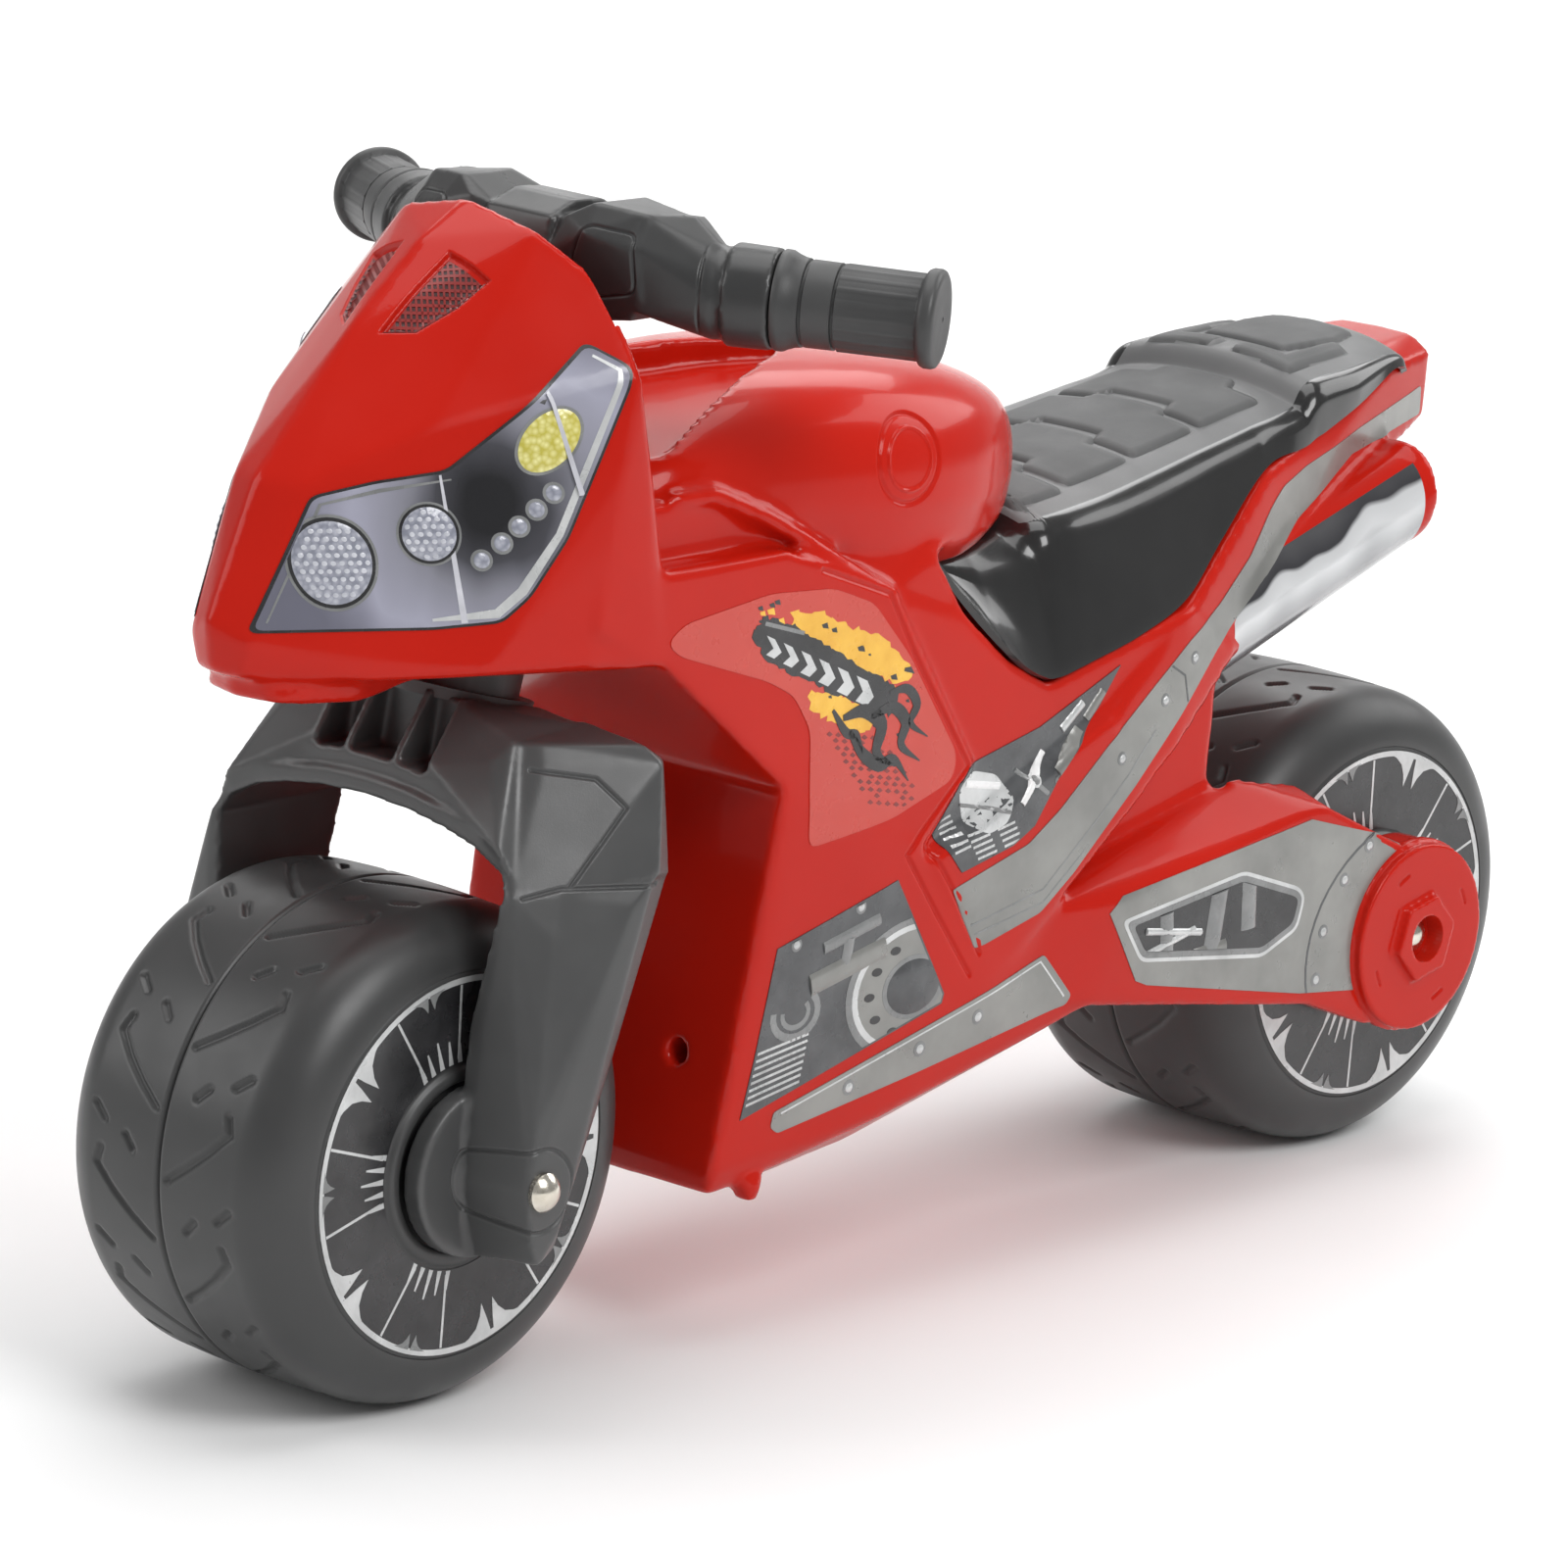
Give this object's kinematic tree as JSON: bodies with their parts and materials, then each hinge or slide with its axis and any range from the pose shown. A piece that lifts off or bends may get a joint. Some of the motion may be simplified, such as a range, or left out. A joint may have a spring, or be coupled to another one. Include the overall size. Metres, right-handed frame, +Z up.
{
  "type": "ride-on toy motorcycle",
  "caption": "Foot-to-floor ride-on toy motorcycle with a hollow moulded body, a steered fork and handlebar, a saddle and broad rolling wheels.",
  "frame": {"origin": "on the floor, midway between the outer ends of the tyres, in the middle plane", "axes": "+Z up, the front wheel towards -Y, the rider's left towards +X"},
  "size_m": [0.3162, 0.73, 0.45],
  "materials": {
    "red_plastic": "glossy blow-moulded red",
    "red_cover_plastic": "glossy moulded red",
    "seat_plastic": "glossy black with matt grey pads",
    "grip_plastic": "satin black",
    "black_plastic": "satin charcoal",
    "bearing_plastic": "satin black",
    "wheel_plastic": "satin charcoal",
    "steel": "bright zinc",
    "wheel_print": "silver and black print",
    "headlight_print": "smoky lamp print",
    "side_print": "clear film with a yellow and black graphic",
    "engine_print": "grey mechanical print",
    "vent_mesh": "dark mesh",
    "exhaust_print": "chrome-look print",
    "silver_print": "silver-grey print with printed rivets"
  },
  "bodies": {
    "body": {"arm_decal_left": "silver_print", "arm_decal_right": "silver_print", "body_shell": "red_plastic", "cowl_shell": "red_plastic", "engine_decal_lower_left": "engine_print", "engine_decal_lower_right": "engine_print", "engine_decal_upper_left": "engine_print", "engine_decal_upper_right": "engine_print", "exhaust_decal_left": "exhaust_print", "exhaust_decal_right": "exhaust_print", "frame_decal_lower_left": "silver_print", "frame_decal_lower_right": "silver_print", "frame_decal_upper_left": "silver_print", "frame_decal_upper_right": "silver_print", "headlight_decal_left": "headlight_print", "headlight_decal_right": "headlight_print", "rear_axle": "steel", "rear_axle_caps": "steel", "rear_hub_cover_left": "red_cover_plastic", "rear_hub_cover_right": "red_cover_plastic", "seat": "seat_plastic", "side_decal_left": "side_print", "side_decal_right": "side_print", "sill_decal_left": "silver_print", "sill_decal_right": "silver_print", "steering_sleeve": "bearing_plastic", "tank_shell": "red_plastic", "vent_mesh_left": "vent_mesh", "vent_mesh_right": "vent_mesh"},
    "steering": {"fork": "black_plastic", "front_axle": "steel", "front_axle_caps": "steel", "grip_left": "grip_plastic", "grip_right": "grip_plastic", "handlebar": "black_plastic", "steering_bolt": "steel", "steering_washer": "steel"},
    "front_wheel": {"front_wheel": "wheel_plastic", "front_wheel_bush": "bearing_plastic", "front_wheel_label_left": "wheel_print", "front_wheel_label_right": "wheel_print"},
    "rear_wheel": {"rear_wheel": "wheel_plastic", "rear_wheel_bush": "bearing_plastic", "rear_wheel_label_left": "wheel_print", "rear_wheel_label_right": "wheel_print"}
  },
  "joints": [
    {"name": "steering_turn", "type": "hinge", "parent": "body", "child": "steering", "pos_m": [0, -0.261, 0.098], "axis": [0, 0.2588, 0.9659], "range_deg": [-20, 20]},
    {"name": "front_wheel_spin", "type": "hinge", "parent": "steering", "child": "front_wheel", "pos_m": [0, -0.267, 0.098], "axis": [1, 0, 0], "continuous": true},
    {"name": "rear_wheel_spin", "type": "hinge", "parent": "body", "child": "rear_wheel", "pos_m": [0, 0.267, 0.098], "axis": [1, 0, 0], "continuous": true}
  ]
}
